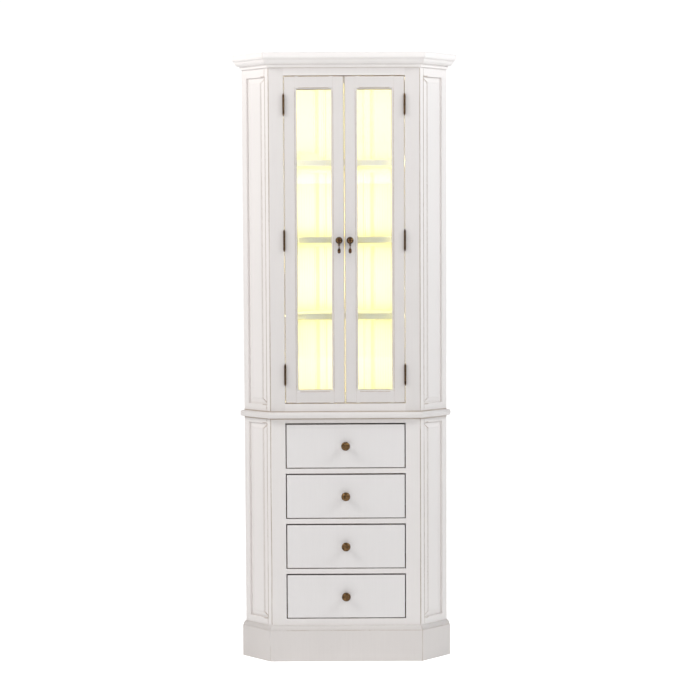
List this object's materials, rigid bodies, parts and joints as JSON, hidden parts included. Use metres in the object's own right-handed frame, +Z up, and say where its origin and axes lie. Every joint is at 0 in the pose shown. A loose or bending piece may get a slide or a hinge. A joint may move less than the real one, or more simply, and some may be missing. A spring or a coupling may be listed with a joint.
{
  "type": "corner curio cabinet",
  "caption": "Tall five-sided corner cabinet: a lit display with shelves behind narrow glazed doors, above a drawer base on a plinth, with raised-panel sides and a moulded cornice.",
  "frame": {"origin": "middle of the bounding box at floor level: X = 0 is the cabinet's middle plane, Z = 0 the floor, Y = 0 halfway between the cornice's front edge and the back corner", "axes": "+X to the right as one faces the cabinet, +Y towards the room's corner (the doors and drawers face -Y), +Z up"},
  "size_m": [0.7354, 0.472, 2],
  "materials": {
    "white_paint": "satin white paint rubbed back to a brown ground at edges and joints",
    "back_paint": "thin white paint over tongued boards",
    "interior_paint": "satin white paint, lit warm from the light strips",
    "bare_wood": "sanded, clear-sealed hardwood",
    "antique_brass": "dark antique brass, rubbed brighter on high spots",
    "door_glass": "clear float glass",
    "strike_steel": "nickel-plated steel plate",
    "catch_plastic": "white magnetic catch housing",
    "channel_aluminium": "satin anodised channel",
    "light_diffuser": "opal strip over warm LEDs",
    "driver_plastic": "white moulded driver housing"
  },
  "bodies": {
    "root": {"plinth_front": "white_paint", "plinth_returns": "white_paint", "base_board": "bare_wood", "lower_stiles": "white_paint", "lower_rails": "white_paint", "lower_return_frame_left": "white_paint", "lower_return_frame_right": "white_paint", "lower_return_panel_left": "white_paint", "lower_return_panel_right": "white_paint", "lower_wall_boards": "back_paint", "waist_board": "white_paint", "upper_stiles": "white_paint", "upper_rails": "white_paint", "upper_return_frame_left": "white_paint", "upper_return_frame_right": "white_paint", "upper_return_panel_left": "white_paint", "upper_return_panel_right": "white_paint", "upper_wall_boards": "interior_paint", "display_floor": "interior_paint", "shelf_lower": "interior_paint", "shelf_middle": "interior_paint", "shelf_upper": "interior_paint", "shelf_cleats": "interior_paint", "top_board": "white_paint", "cornice_front": "white_paint", "cornice_returns": "white_paint", "drawer_runners": "bare_wood", "hinge_frame_leaves": "antique_brass", "hinge_pins": "antique_brass", "door_catch": "catch_plastic", "light_channels": "channel_aluminium", "light_diffusers": "light_diffuser", "light_driver": "driver_plastic"},
    "door_left": {"door_left_frame": "white_paint", "door_left_glass": "door_glass", "door_left_beads": "interior_paint", "door_left_hinge_leaves": "antique_brass", "door_left_pull_knob": "antique_brass", "door_left_strike": "strike_steel"},
    "door_right": {"door_right_frame": "white_paint", "door_right_glass": "door_glass", "door_right_beads": "interior_paint", "door_right_hinge_leaves": "antique_brass", "door_right_pull_knob": "antique_brass", "door_right_strike": "strike_steel", "door_right_meeting_catch": "antique_brass"},
    "pull_drop_left": {"pull_drop_left": "antique_brass"},
    "pull_drop_right": {"pull_drop_right": "antique_brass"},
    "drawer_1": {"drawer_1_front": "white_paint", "drawer_1_box": "bare_wood", "drawer_1_knob": "antique_brass"},
    "drawer_2": {"drawer_2_front": "white_paint", "drawer_2_box": "bare_wood", "drawer_2_knob": "antique_brass"},
    "drawer_3": {"drawer_3_front": "white_paint", "drawer_3_box": "bare_wood", "drawer_3_knob": "antique_brass"},
    "drawer_4": {"drawer_4_front": "white_paint", "drawer_4_box": "bare_wood", "drawer_4_knob": "antique_brass"}
  },
  "joints": [
    {"name": "door_left_hinge", "type": "hinge", "parent": "root", "child": "door_left", "pos_m": [-0.1974, -0.1976, 1.393], "axis": [0, 0, -1], "range_deg": [0, 170]},
    {"name": "pull_drop_left_swing", "type": "hinge", "parent": "door_left", "child": "pull_drop_left", "pos_m": [-0.018, -0.211, 1.3778], "axis": [-1, 0, 0], "range_deg": [-30, 80]},
    {"name": "door_right_hinge", "type": "hinge", "parent": "root", "child": "door_right", "pos_m": [0.1974, -0.1976, 1.393], "axis": [0, 0, 1], "range_deg": [0, 170]},
    {"name": "pull_drop_right_swing", "type": "hinge", "parent": "door_right", "child": "pull_drop_right", "pos_m": [0.018, -0.211, 1.3778], "axis": [-1, 0, 0], "range_deg": [-30, 80]},
    {"name": "drawer_1_slide", "type": "slide", "parent": "root", "child": "drawer_1", "axis": [0, -1, 0], "range_m": [0, 0.15]},
    {"name": "drawer_2_slide", "type": "slide", "parent": "root", "child": "drawer_2", "axis": [0, -1, 0], "range_m": [0, 0.15]},
    {"name": "drawer_3_slide", "type": "slide", "parent": "root", "child": "drawer_3", "axis": [0, -1, 0], "range_m": [0, 0.15]},
    {"name": "drawer_4_slide", "type": "slide", "parent": "root", "child": "drawer_4", "axis": [0, -1, 0], "range_m": [0, 0.15]}
  ]
}
